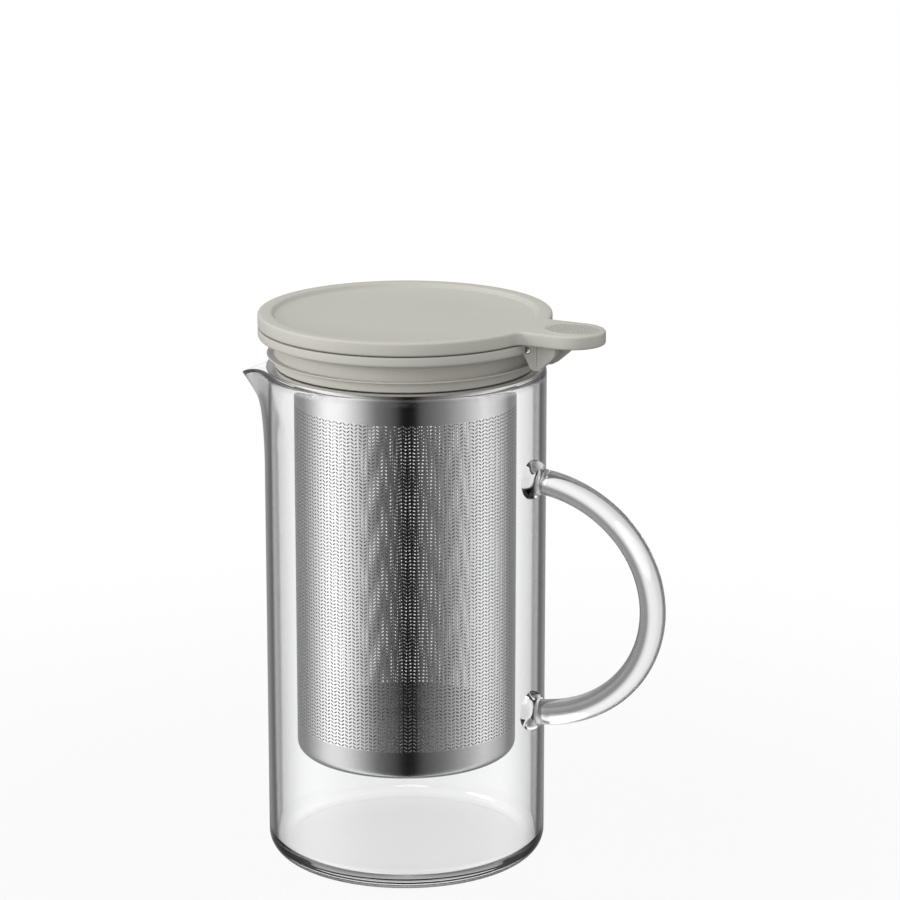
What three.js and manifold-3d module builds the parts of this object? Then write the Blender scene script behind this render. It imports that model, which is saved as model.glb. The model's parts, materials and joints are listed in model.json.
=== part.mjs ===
// Tea infuser pitcher: a glass pitcher with a perforated steel infuser, a silicone ring and a flip lid.
// Millimetres, +Z up. The origin is the centre of the foot, and the handle points along +X.
// Closed, the infuser's flange rests on the rim, the ring on the flange, and the lid on the ring.
import * as THREE from "three";
import { mergeVertices } from "three/addons/utils/BufferGeometryUtils.js";
import Module from "manifold-3d";

const wasm = await Module();
wasm.setup();

// Clearances and cutting allowance
const SEAT_GAP = 0.3;
const CUT_OVERRUN = 2;

// Glass pitcher
const GLASS_DIAMETER = 106;
const GLASS_HEIGHT = 190;
const GLASS_WALL = 2.4;
const GLASS_FLOOR = 4.6;
const FOOT_CORNER = 8;
const FLOOR_CORNER = 5;

// Pouring spout, drawn out of the rim opposite the handle
const SPOUT_REACH = 18;
const SPOUT_DIP = 9;
const SPOUT_DEPTH = 36;
const SPOUT_TIP_ROUNDING = 3;
const SPOUT_FLARE_POWER = 1.4;
const SPOUT_ROWS = 5;

// Glass handle, a bent rod flame-welded to the wall at two feet
const HANDLE_ROD = 9.6;
const HANDLE_TOP = 153;
const HANDLE_BOTTOM = 63;
const HANDLE_REACH = 50;
const HANDLE_STUB = 5.5;
const HANDLE_FOOT = 15;

// Infuser of stainless sheet, hung in the glass with room for tea all round
const BREW_SPACE = 8.8;
const TUBE_SHEET = 0.8;
const FLANGE_SETBACK = 1;
const FLANGE_SHEET = 1;
const FLANGE_BEND = 1.2;
const MOUTH_DEPTH = 2.2;
const HEAD_BAND = 10;
const SLOT_FIELD = 125.6;
const FOOT_BAND = 6;
const CUP_HEIGHT = 5;
const CUP_CORNER = 4;
const PULL_TAB_WIDTH = 18.5;
const PULL_TAB_ROOT_WIDTH = 22;
const PULL_TAB_LENGTH = 19.5;
const PULL_TAB_FILLET = 4;
const PULL_TAB_TURN = THREE.MathUtils.degToRad(57.5);

// Chevron slots of the screen: each pair of columns makes one row of Vs
const SLOT_COLUMNS = 28;
const SLOT_ROWS = 6;
const SLOT_WIDTH_SHARE = 0.66;
const SLOT_HEIGHT_SHARE = 0.34;
const SLOT_SLANT_SHARE = 0.22;

// Silicone ring between the flange and the lid
const RING_SHOULDER = 5.7;
const RING_WALL = 2.6;
const RING_HEIGHT = 10.4;
const RING_EDGE = 0.7;
const FIN_SETBACK = 0.3;
const FIN_THICKNESS = 1;
const FIN_RISE = 0.6;
const FIN_HEIGHT_SHARE = 0.38;

// Lid base: a disc with a hollow plug under it
const LID_OVERHANG = 2;
const BASE_DISC = 3.7;
const BASE_EDGE = 1.2;
const PLUG_FIT = 0.5;
const PLUG_LIP = 2;
const PLUG_UNDERCUT = 1.8;
const PLUG_WALL = 3;

// Lid cover: a moulded dish with a thumb tab
const COVER_GAP = 0.4;
const COVER_HEIGHT = 5.1;
const COVER_SKIN = 2.2;
const COVER_EDGE = 0.9;
const COVER_BORDER = 5.5;
const COVER_SLOPE = 3;
const COVER_DISH = 1;
const THUMB_TAB_WIDTH = 25;
const THUMB_TAB_LENGTH = 26.5;
const THUMB_TAB_FILLET = 3;
const GRIP_DIAMETER = 19;
const GRIP_RIBS = 8;
const GRIP_RIB_WIDTH = 0.9;
const GRIP_RIB_HEIGHT = 0.5;

// Hinge under the thumb tab: an ear of the base between two cheeks of the cover
const HINGE_OFFSET = 0;
const HINGE_DROP = 2.7;
const PIN_DIAMETER = 2;
const EAR_WIDTH = 7.4;
const EAR_RADIUS = 2.3;
const CHEEK_THICKNESS = 4;
const CHEEK_RADIUS = 2.6;
const CHEEK_REACH = 11.2;
const CHEEK_HEEL = 2.4;
const LOBE_RADIUS = 2.7;
const LOBE_OFFSET = 5.6;
const LOBE_TURN = THREE.MathUtils.degToRad(-55);
const NOTCH_DEPTH = 5.7;

// Facets
const GLASS_SEGMENTS = 64;
const ROUND_SEGMENTS = 56;
const ARC_STEPS = 3;
const ROD_SIDES = 16;
const ROD_STEPS = 24;
const SMALL_SEGMENTS = 20;

// Radii and levels that follow from the sizes above
const glassRadius = GLASS_DIAMETER / 2;
const tubeRadius = glassRadius - GLASS_WALL - BREW_SPACE;
const screenHeight = HEAD_BAND + SLOT_FIELD + FOOT_BAND;
const flangeRadius = glassRadius - FLANGE_SETBACK;
const ringRadius = flangeRadius - RING_SHOULDER;
const finRadius = flangeRadius - FIN_SETBACK;
const lipRadius = ringRadius - PLUG_FIT;
const neckRadius = lipRadius - PLUG_UNDERCUT;
const lidRadius = glassRadius + LID_OVERHANG;
const flangeLevel = GLASS_HEIGHT + SEAT_GAP;
const ringLevel = flangeLevel + FLANGE_SHEET + SEAT_GAP;
const baseLevel = ringLevel + RING_HEIGHT + SEAT_GAP;
const coverLevel = baseLevel + BASE_DISC + COVER_GAP;
const hingeX = lidRadius + HINGE_OFFSET;
const hingeLevel = coverLevel - HINGE_DROP;
const earHalf = EAR_WIDTH / 2;
const cheekInner = earHalf + SEAT_GAP;
const cheekOuter = cheekInner + CHEEK_THICKNESS;

// Finishes
const glass = new THREE.MeshStandardMaterial({ color: 0xe8eeee, roughness: 0.05, transparent: true, opacity: 0.35 });
const steel = new THREE.MeshStandardMaterial({ color: 0xb4b4b2, roughness: 0.28, metalness: 1 });
const plastic = new THREE.MeshStandardMaterial({ color: 0xb0aea5, roughness: 0.5, metalness: 0 });
const silicone = new THREE.MeshStandardMaterial({ color: 0xbcbab0, roughness: 0.62, metalness: 0 });

// A closed geometry as a manifold solid, and back
function solid(geometry) {
  const bare = geometry.clone();
  bare.deleteAttribute("normal");
  bare.deleteAttribute("uv");
  const merged = mergeVertices(bare, 1e-4);
  return new wasm.Manifold(
    new wasm.Mesh({
      numProp: 3,
      vertProperties: new Float32Array(merged.attributes.position.array),
      triVerts: new Uint32Array(merged.index.array),
    }),
  );
}

function geometryOf(manifold) {
  const mesh = manifold.getMesh();
  const geometry = new THREE.BufferGeometry();
  geometry.setAttribute("position", new THREE.BufferAttribute(mesh.vertProperties, mesh.numProp));
  geometry.setIndex(new THREE.BufferAttribute(mesh.triVerts, 1));
  geometry.computeVertexNormals();
  return geometry;
}

function piece(name, geometry, material) {
  const mesh = new THREE.Mesh(geometry, material.clone());
  mesh.name = name;
  return mesh;
}

// Points of an arc in the profile plane, from one angle to another
function arc(centreX, centreZ, radius, from, to, steps = ARC_STEPS) {
  return Array.from({ length: steps + 1 }, (_, i) => {
    const angle = from + ((to - from) * i) / steps;
    return new THREE.Vector2(centreX + radius * Math.cos(angle), centreZ + radius * Math.sin(angle));
  });
}

// A profile of radius and height turned about the Z axis
function turned(profile, segments = ROUND_SEGMENTS) {
  return new THREE.LatheGeometry(profile, segments).rotateX(Math.PI / 2);
}

function point(radius, height) {
  return new THREE.Vector2(radius, height);
}

// A profile that closes on itself
function loop(points) {
  return [...points, points[0].clone()];
}

// A tongue that leaves a round disc along +X: filleted at its root, drawn in evenly and rounded at its end
function tongueShape(discRadius, rootWidth, endWidth, length, fillet) {
  const half = rootWidth / 2;
  const tip = endWidth / 2;
  const end = discRadius + length - tip;
  const filletX = Math.sqrt((discRadius + fillet) ** 2 - (half + fillet) ** 2);
  const rootTurn = Math.atan2(half + fillet, filletX);
  const rootX = discRadius * Math.cos(rootTurn);
  const rootY = discRadius * Math.sin(rootTurn);
  const inset = rootX - half;
  const shape = new THREE.Shape();
  shape.moveTo(inset, -rootY);
  shape.lineTo(rootX, -rootY);
  shape.absarc(filletX, -half - fillet, fillet, Math.PI - rootTurn, Math.PI / 2, true);
  shape.absarc(end, 0, tip, -Math.PI / 2, Math.PI / 2, false);
  shape.absarc(filletX, half + fillet, fillet, -Math.PI / 2, -Math.PI + rootTurn, true);
  shape.lineTo(inset, rootY);
  return shape;
}

// A plate cut to an outline in the XZ plane, between two places along Y
function plateAcross(shape, fromY, toY) {
  const settings = { depth: toY - fromY, bevelEnabled: false, curveSegments: ARC_STEPS * 2 };
  return new THREE.ExtrudeGeometry(shape, settings).rotateX(Math.PI / 2).translate(0, toY, 0);
}

// A round bar along Y about the hinge axis
function hingeBar(diameter, length) {
  const bar = new THREE.CylinderGeometry(diameter / 2, diameter / 2, length, SMALL_SEGMENTS);
  return bar.translate(hingeX, 0, hingeLevel);
}

// The pitcher's body: a turned wall and floor whose rim is drawn out into the spout
function glassBody() {
  const inner = glassRadius - GLASS_WALL;
  const lip = GLASS_WALL / 2;
  const rimLevel = GLASS_HEIGHT - lip;
  const spoutStart = GLASS_HEIGHT - SPOUT_DEPTH;
  const rows = Array.from({ length: SPOUT_ROWS + 1 }, (_, i) => {
    return spoutStart + (rimLevel - spoutStart) * Math.sqrt(i / SPOUT_ROWS);
  });
  const profile = [
    point(0, 0),
    ...arc(glassRadius - FOOT_CORNER, FOOT_CORNER, FOOT_CORNER, -Math.PI / 2, 0),
    ...rows.slice(0, -1).map((level) => point(glassRadius, level)),
    ...arc(glassRadius - lip, rimLevel, lip, 0, Math.PI),
    ...rows.slice(0, -1).reverse().map((level) => point(inner, level)),
    ...arc(inner - FLOOR_CORNER, GLASS_FLOOR + FLOOR_CORNER, FLOOR_CORNER, 0, -Math.PI / 2),
    point(0, GLASS_FLOOR),
  ];
  const geometry = turned(profile, GLASS_SEGMENTS);
  const place = geometry.attributes.position;
  const tangentTurn = Math.acos(glassRadius / (glassRadius + SPOUT_REACH));
  const rounding = SPOUT_TIP_ROUNDING / glassRadius;
  for (let i = 0; i < place.count; i++) {
    const x = place.getX(i);
    const y = place.getY(i);
    const level = place.getZ(i);
    const rise = (level - spoutStart) / SPOUT_DEPTH;
    const turn = Math.hypot(Math.atan2(y, -x), rounding) - rounding;
    if (rise <= 0 || turn >= tangentTurn) continue;
    const pull = glassRadius / Math.cos(tangentTurn - turn) - glassRadius;
    const radius = Math.hypot(x, y);
    const drawn = (radius + pull * rise ** SPOUT_FLARE_POWER) / radius;
    place.setXYZ(i, x * drawn, y * drawn, level - (SPOUT_DIP * rise * pull) / SPOUT_REACH);
  }
  geometry.computeVertexNormals();
  return piece("glass_body", geometry, glass);
}

// The handle's centre line: half an ellipse in the XZ plane, from the upper foot to the lower one
class HandleLine extends THREE.Curve {
  getPoint(t, target = new THREE.Vector3()) {
    const angle = Math.PI * (1 / 2 - t);
    const middle = (HANDLE_TOP + HANDLE_BOTTOM) / 2;
    const rise = (HANDLE_TOP - HANDLE_BOTTOM) / 2;
    return target.set(glassRadius + HANDLE_REACH * Math.cos(angle), 0, middle + rise * Math.sin(angle));
  }
}

// A flared foot where the rod is welded to the wall, turned about the X axis
function handleFoot(level) {
  const rod = HANDLE_ROD / 2;
  const flare = HANDLE_FOOT / 2;
  const root = HANDLE_STUB / 2;
  const profile = [
    point(0, -root),
    point(flare, -root),
    point(flare, root / 2),
    point(rod + (flare - rod) / 3, root),
    point(rod - root / 3, HANDLE_STUB),
    point(0, HANDLE_STUB),
  ];
  const foot = new THREE.LatheGeometry(profile, ROD_SIDES + SMALL_SEGMENTS / 2).rotateZ(-Math.PI / 2);
  return foot.translate(glassRadius, 0, level);
}

function glassHandle() {
  const section = new THREE.Shape();
  section.absarc(0, 0, HANDLE_ROD / 2, 0, 2 * Math.PI, false);
  const rod = new THREE.ExtrudeGeometry(section, {
    steps: ROD_STEPS,
    extrudePath: new HandleLine(),
    curveSegments: ROD_SIDES / 2,
    bevelEnabled: false,
  });
  const clear = glassRadius + SEAT_GAP;
  const wall = new THREE.CylinderGeometry(clear, clear, GLASS_HEIGHT, GLASS_SEGMENTS).rotateX(Math.PI / 2);
  const made = solid(rod)
    .add(solid(handleFoot(HANDLE_TOP)))
    .add(solid(handleFoot(HANDLE_BOTTOM)))
    .subtract(solid(wall.translate(0, 0, GLASS_HEIGHT / 2)));
  return piece("glass_handle", geometryOf(made), glass);
}

// The flange with its pull tab and the rolled mouth, to which the tube is welded
function infuserCollar() {
  const inner = tubeRadius - TUBE_SHEET;
  const mouth = inner + FLANGE_BEND;
  const profile = loop([
    point(inner, -MOUTH_DEPTH),
    point(tubeRadius, -MOUTH_DEPTH),
    point(tubeRadius, 0),
    point(flangeRadius, 0),
    point(flangeRadius, FLANGE_SHEET),
    ...arc(mouth, FLANGE_SHEET - FLANGE_BEND, FLANGE_BEND, Math.PI / 2, Math.PI),
  ]);
  const tongue = new THREE.ExtrudeGeometry(
    tongueShape(flangeRadius, PULL_TAB_ROOT_WIDTH, PULL_TAB_WIDTH, PULL_TAB_LENGTH, PULL_TAB_FILLET),
    { depth: FLANGE_SHEET, bevelEnabled: false, curveSegments: ARC_STEPS * 2 },
  );
  const boreDepth = FLANGE_SHEET + 2 * CUT_OVERRUN;
  const bore = new THREE.CylinderGeometry(tubeRadius, tubeRadius, boreDepth, ROUND_SEGMENTS);
  const tab = solid(tongue).subtract(solid(bore.rotateX(Math.PI / 2)));
  const made = solid(turned(profile)).add(tab);
  const collar = piece("infuser_collar", geometryOf(made), steel);
  collar.rotation.z = PULL_TAB_TURN;
  return collar;
}

// The screen: a sheet tube with a plain band at each end. Between them it is built cell by cell,
// each cell a frame round one slanted slot
function infuserScreen() {
  const inner = tubeRadius - TUBE_SHEET;
  const outer = tubeRadius;
  const corners = [];
  const at = (radius, turn, level) => [radius * Math.cos(turn), radius * Math.sin(turn), level];
  const on = (radius, [turn, level]) => at(radius, turn, level);
  const face = (a, b, c, d) => corners.push(...a, ...b, ...c, ...a, ...c, ...d);
  const cellTurn = (2 * Math.PI) / SLOT_COLUMNS;
  const cellHeight = SLOT_FIELD / SLOT_ROWS;
  const fieldTop = FOOT_BAND + SLOT_FIELD;
  const halfTurn = (cellTurn * SLOT_WIDTH_SHARE) / 2;
  const halfHeight = (cellHeight * SLOT_HEIGHT_SHARE) / 2;
  const slant = cellHeight * SLOT_SLANT_SHARE;
  for (let column = 0; column < SLOT_COLUMNS; column++) {
    const left = column * cellTurn;
    const right = left + cellTurn;
    const middle = left + cellTurn / 2;
    const lean = column % 2 === 0 ? slant : -slant;
    for (const [low, high] of [[0, FOOT_BAND], [fieldTop, screenHeight]]) {
      face(at(outer, left, low), at(outer, right, low), at(outer, right, high), at(outer, left, high));
      face(at(inner, right, low), at(inner, left, low), at(inner, left, high), at(inner, right, high));
    }
    for (let row = 0; row < SLOT_ROWS; row++) {
      const low = FOOT_BAND + row * cellHeight;
      const high = low + cellHeight;
      const centre = low + cellHeight / 2;
      const cell = [[left, low], [right, low], [right, high], [left, high]];
      const slot = [
        [middle - halfTurn, centre - lean - halfHeight],
        [middle + halfTurn, centre + lean - halfHeight],
        [middle + halfTurn, centre + lean + halfHeight],
        [middle - halfTurn, centre - lean + halfHeight],
      ];
      for (let side = 0; side < cell.length; side++) {
        const next = (side + 1) % cell.length;
        face(on(outer, cell[side]), on(outer, cell[next]), on(outer, slot[next]), on(outer, slot[side]));
        face(on(inner, cell[next]), on(inner, cell[side]), on(inner, slot[side]), on(inner, slot[next]));
        face(on(outer, slot[side]), on(outer, slot[next]), on(inner, slot[next]), on(inner, slot[side]));
      }
    }
    face(at(inner, left, 0), at(inner, right, 0), at(outer, right, 0), at(outer, left, 0));
    const top = screenHeight;
    face(at(outer, left, top), at(outer, right, top), at(inner, right, top), at(inner, left, top));
  }
  const loose = new THREE.BufferGeometry();
  loose.setAttribute("position", new THREE.Float32BufferAttribute(corners, 3));
  const screen = piece("infuser_screen", geometryOf(solid(loose)), steel);
  screen.position.z = -MOUTH_DEPTH - SEAT_GAP - screenHeight;
  return screen;
}

// The shallow cup that closes the foot of the tube
function infuserCup() {
  const inner = tubeRadius - TUBE_SHEET;
  const insideCorner = CUP_CORNER - TUBE_SHEET;
  const profile = [
    point(0, 0),
    ...arc(tubeRadius - CUP_CORNER, CUP_CORNER, CUP_CORNER, -Math.PI / 2, 0),
    point(tubeRadius, CUP_HEIGHT),
    point(inner, CUP_HEIGHT),
    ...arc(inner - insideCorner, CUP_CORNER, insideCorner, 0, -Math.PI / 2),
    point(0, TUBE_SHEET),
  ];
  const cup = piece("infuser_cup", turned(profile), steel);
  cup.position.z = -MOUTH_DEPTH - screenHeight - 2 * SEAT_GAP - CUP_HEIGHT;
  return cup;
}

// The silicone ring: a short sleeve with a thin fin that cups upwards
function siliconeRing() {
  const inner = ringRadius;
  const outer = inner + RING_WALL;
  const finLevel = RING_HEIGHT * FIN_HEIGHT_SHARE;
  const profile = loop([
    point(inner, RING_EDGE),
    point(inner + RING_EDGE, 0),
    point(outer - RING_EDGE, 0),
    point(outer, RING_EDGE),
    point(outer, finLevel - FIN_THICKNESS / 2),
    point(finRadius, finLevel - FIN_THICKNESS / 2 + FIN_RISE),
    point(finRadius, finLevel + FIN_THICKNESS / 2 + FIN_RISE / 2),
    point(outer, finLevel + FIN_THICKNESS / 2),
    point(outer, RING_HEIGHT - RING_EDGE),
    point(outer - RING_EDGE, RING_HEIGHT),
    point(inner + RING_EDGE, RING_HEIGHT),
    point(inner, RING_HEIGHT - RING_EDGE),
  ]);
  const ring = piece("silicone_ring", turned(profile), silicone);
  ring.position.z = ringLevel;
  return ring;
}

// The lid's base: disc, hollow plug with its lip, and the hinge ear in its notch
function lidBase() {
  const bore = neckRadius - PLUG_WALL;
  const bottom = baseLevel - RING_HEIGHT - SEAT_GAP;
  const top = baseLevel + BASE_DISC;
  const profile = loop([
    point(bore, bottom),
    point(lipRadius, bottom),
    point(lipRadius, bottom + PLUG_LIP),
    point(neckRadius, bottom + (PLUG_LIP * 3) / 2),
    point(neckRadius, baseLevel),
    ...arc(lidRadius - BASE_EDGE, baseLevel + BASE_EDGE, BASE_EDGE, -Math.PI / 2, 0),
    point(lidRadius, top),
    point(bore, top),
  ]);
  const notchFrom = lidRadius - NOTCH_DEPTH;
  const notchLength = NOTCH_DEPTH + CUT_OVERRUN;
  const notch = new THREE.BoxGeometry(notchLength, 2 * (cheekOuter + SEAT_GAP), BASE_DISC + 2 * CUT_OVERRUN);
  notch.translate(notchFrom + notchLength / 2, 0, baseLevel + BASE_DISC / 2);
  const earShape = new THREE.Shape();
  earShape.moveTo(notchFrom - EAR_RADIUS, top);
  earShape.lineTo(hingeX, hingeLevel + EAR_RADIUS);
  earShape.absarc(hingeX, hingeLevel, EAR_RADIUS, Math.PI / 2, -Math.PI / 2, true);
  earShape.lineTo(notchFrom - EAR_RADIUS, baseLevel);
  const made = solid(turned(profile))
    .subtract(solid(notch))
    .add(solid(plateAcross(earShape, -earHalf, earHalf)))
    .subtract(solid(hingeBar(PIN_DIAMETER + 2 * SEAT_GAP, 2 * cheekOuter)));
  return piece("lid_base", geometryOf(made), plastic);
}

// One cheek of the hinge: it hangs from the thumb tab, takes the pin and ends in a rounded lobe
function cheek(fromY, toY) {
  const root = coverLevel + COVER_HEIGHT / 2;
  const lobeX = hingeX + LOBE_OFFSET * Math.cos(LOBE_TURN);
  const lobeLevel = hingeLevel + LOBE_OFFSET * Math.sin(LOBE_TURN);
  const shape = new THREE.Shape();
  shape.moveTo(hingeX - CHEEK_RADIUS, root);
  shape.lineTo(hingeX - CHEEK_RADIUS, hingeLevel);
  shape.absarc(lobeX, lobeLevel, LOBE_RADIUS, Math.PI * 1.1, Math.PI * 1.8, false);
  shape.lineTo(hingeX + CHEEK_REACH - CHEEK_HEEL / 2, hingeLevel - CHEEK_HEEL);
  shape.lineTo(hingeX + CHEEK_REACH, hingeLevel);
  shape.lineTo(hingeX + CHEEK_REACH, root);
  return solid(plateAcross(shape, fromY, toY));
}

// The raised ribs of the thumb grip, each as long as the round pad is wide there
function gripRibs() {
  const radius = GRIP_DIAMETER / 2;
  const centreX = lidRadius + THUMB_TAB_LENGTH - THUMB_TAB_WIDTH / 2;
  const pitch = GRIP_DIAMETER / GRIP_RIBS;
  return Array.from({ length: GRIP_RIBS }, (_, i) => {
    const offset = (i - (GRIP_RIBS - 1) / 2) * pitch;
    const length = 2 * Math.sqrt(radius ** 2 - offset ** 2);
    const rib = new THREE.BoxGeometry(GRIP_RIB_WIDTH, length, 2 * GRIP_RIB_HEIGHT);
    return solid(rib.translate(centreX + offset, 0, coverLevel + COVER_HEIGHT));
  });
}

// The lid's cover: a shallow moulded dish, its thumb tab and the two cheeks of the hinge
function lidCover() {
  const wall = lidRadius - COVER_SKIN;
  const dish = lidRadius - COVER_BORDER;
  const top = coverLevel + COVER_HEIGHT;
  const ceiling = top - COVER_DISH - COVER_SKIN;
  const profile = [
    point(0, ceiling),
    point(wall - COVER_SKIN, ceiling),
    point(wall, coverLevel),
    ...arc(lidRadius - COVER_EDGE, coverLevel + COVER_EDGE, COVER_EDGE, -Math.PI / 2, 0, 2),
    ...arc(lidRadius - COVER_EDGE, top - COVER_EDGE, COVER_EDGE, 0, Math.PI / 2, 2),
    point(dish, top),
    point(dish - COVER_SLOPE / 2, top - COVER_DISH / 2),
    point(dish - COVER_SLOPE, top - COVER_DISH),
    point(0, top - COVER_DISH),
  ];
  const tongue = new THREE.ExtrudeGeometry(
    tongueShape(lidRadius, THUMB_TAB_WIDTH, THUMB_TAB_WIDTH, THUMB_TAB_LENGTH, THUMB_TAB_FILLET),
    { depth: COVER_HEIGHT, bevelEnabled: false, curveSegments: ARC_STEPS * 3 },
  );
  const dishCut = new THREE.CylinderGeometry(wall, wall, COVER_HEIGHT * 2, ROUND_SEGMENTS).rotateX(Math.PI / 2);
  const tab = solid(tongue.translate(0, 0, coverLevel)).subtract(solid(dishCut.translate(0, 0, coverLevel)));
  const made = [tab, cheek(cheekInner, cheekOuter), cheek(-cheekOuter, -cheekInner), ...gripRibs()]
    .reduce((sum, next) => sum.add(next), solid(turned(profile)))
    .subtract(solid(hingeBar(PIN_DIAMETER + 2 * SEAT_GAP, 2 * cheekOuter + CUT_OVERRUN)));
  return piece("lid_cover", geometryOf(made), plastic);
}

function hingePin() {
  return piece("hinge_pin", hingeBar(PIN_DIAMETER, 2 * cheekOuter - SEAT_GAP), steel);
}

const infuser = new THREE.Group();
infuser.add(infuserCollar(), infuserScreen(), infuserCup());
infuser.position.z = flangeLevel;

const pitcher = new THREE.Group();
pitcher.add(glassBody(), glassHandle(), infuser, siliconeRing(), lidBase(), hingePin(), lidCover());

export default pitcher;
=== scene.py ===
"""Tea infuser pitcher: the looks of its glass, steel, silicone and moulded lid over the CAD frame."""

import json
import logging
import math
from dataclasses import dataclass
from enum import Enum
from typing import Sequence

import bmesh
import bpy
from mathutils import Matrix, Vector

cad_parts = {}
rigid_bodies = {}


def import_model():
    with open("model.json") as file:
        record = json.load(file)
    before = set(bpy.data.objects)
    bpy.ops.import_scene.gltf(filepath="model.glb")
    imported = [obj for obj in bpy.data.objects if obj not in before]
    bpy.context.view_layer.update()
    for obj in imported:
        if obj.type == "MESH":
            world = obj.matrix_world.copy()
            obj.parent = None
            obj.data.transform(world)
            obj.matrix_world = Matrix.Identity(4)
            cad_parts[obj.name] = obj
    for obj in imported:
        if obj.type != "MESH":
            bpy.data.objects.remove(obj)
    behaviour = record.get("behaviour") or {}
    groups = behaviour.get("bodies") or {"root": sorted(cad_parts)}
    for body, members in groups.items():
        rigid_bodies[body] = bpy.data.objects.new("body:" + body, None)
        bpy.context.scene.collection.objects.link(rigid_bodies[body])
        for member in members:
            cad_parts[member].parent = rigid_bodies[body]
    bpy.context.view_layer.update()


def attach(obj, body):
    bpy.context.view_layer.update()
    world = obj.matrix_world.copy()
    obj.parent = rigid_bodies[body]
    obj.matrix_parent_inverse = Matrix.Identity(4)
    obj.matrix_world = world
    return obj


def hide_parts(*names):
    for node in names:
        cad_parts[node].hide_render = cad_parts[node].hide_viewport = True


LOG = logging.getLogger("pitcher")
MM = 0.001
TURN = 2 * math.pi
ROUND = 256
Point = tuple[float, float]
Profile = Sequence[Point]
Ring = list[Vector]
Socket = bpy.types.NodeSocket
Feed = Socket | float | tuple[float, ...]


class Body(Enum):
    """The bodies of the CAD model that the pieces ride on."""

    PITCHER = "pitcher"
    INFUSER = "infuser"
    RING = "ring"
    LID = "lid"
    COVER = "cover"


class Slot(Enum):
    """The record's material slots."""

    GLASS = "clear_glass"
    STEEL = "stainless"
    SILICONE = "grey_silicone"
    PLASTIC = "grey_plastic"


def around(count: int) -> list[float]:
    """Even angles round a full turn, in radians."""
    return [TURN * i / count for i in range(count)]


def arc(cx: float, cz: float, radius: float, start: float, end: float, steps: int) -> list[Point]:
    """Points of an arc in a profile.

    Args:
        cx: The centre's distance from the axis, in millimetres.
        cz: The centre's height, in millimetres.
        radius: The arc's radius, in millimetres.
        start: The first point's angle, in degrees.
        end: The last point's angle, in degrees.
        steps: The number of steps between them.

    Returns:
        The points, as distance from the axis and height.
    """
    turns = [math.radians(start + (end - start) * i / steps) for i in range(steps + 1)]
    return [(cx + radius * math.cos(t), cz + radius * math.sin(t)) for t in turns]


def grey(level: float) -> tuple[float, ...]:
    """The colour of a grey level."""
    return (level, level, level, 1.0)


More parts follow.
